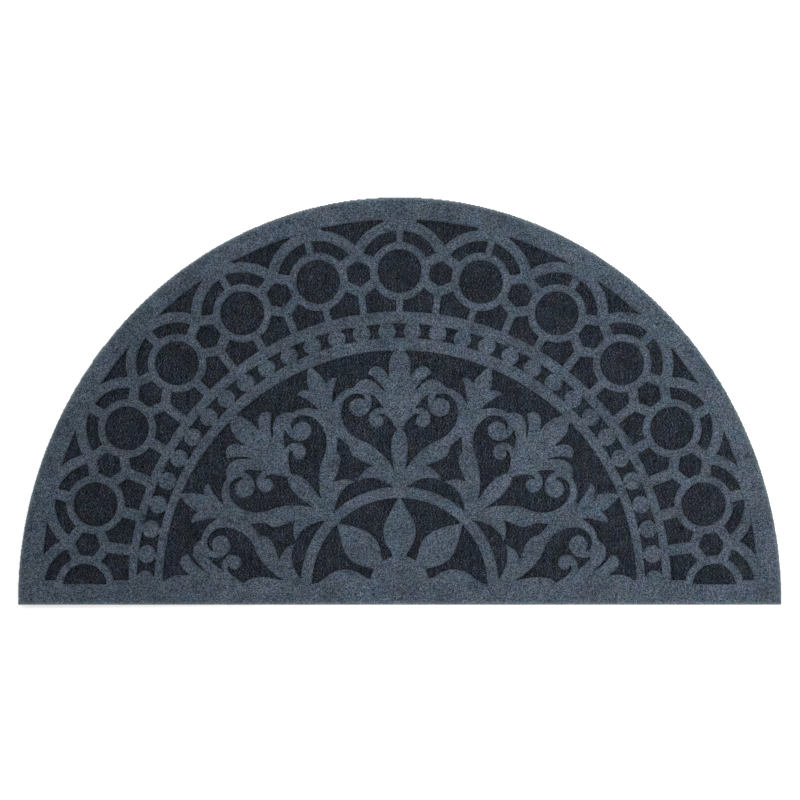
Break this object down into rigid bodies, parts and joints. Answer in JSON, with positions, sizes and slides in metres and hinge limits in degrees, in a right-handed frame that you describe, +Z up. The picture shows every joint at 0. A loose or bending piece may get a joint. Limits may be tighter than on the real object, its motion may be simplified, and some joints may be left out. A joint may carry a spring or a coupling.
{
  "type": "doormat",
  "caption": "Half-round doormat of thick needled pile, with a raised traditional ornament over a lower dark ribbed ground, straight along the door edge.",
  "frame": {"origin": "middle of the underside's bounding box, on the surface that the mat lies on", "axes": "+Z up out of the pile, X along the straight edge, +Y from the straight edge towards the top of the arc"},
  "size_m": [0.75, 0.4, 0.008],
  "materials": {
    "pile": "matte heather pile"
  },
  "bodies": {
    "root": {"mat": "pile"}
  },
  "joints": []
}
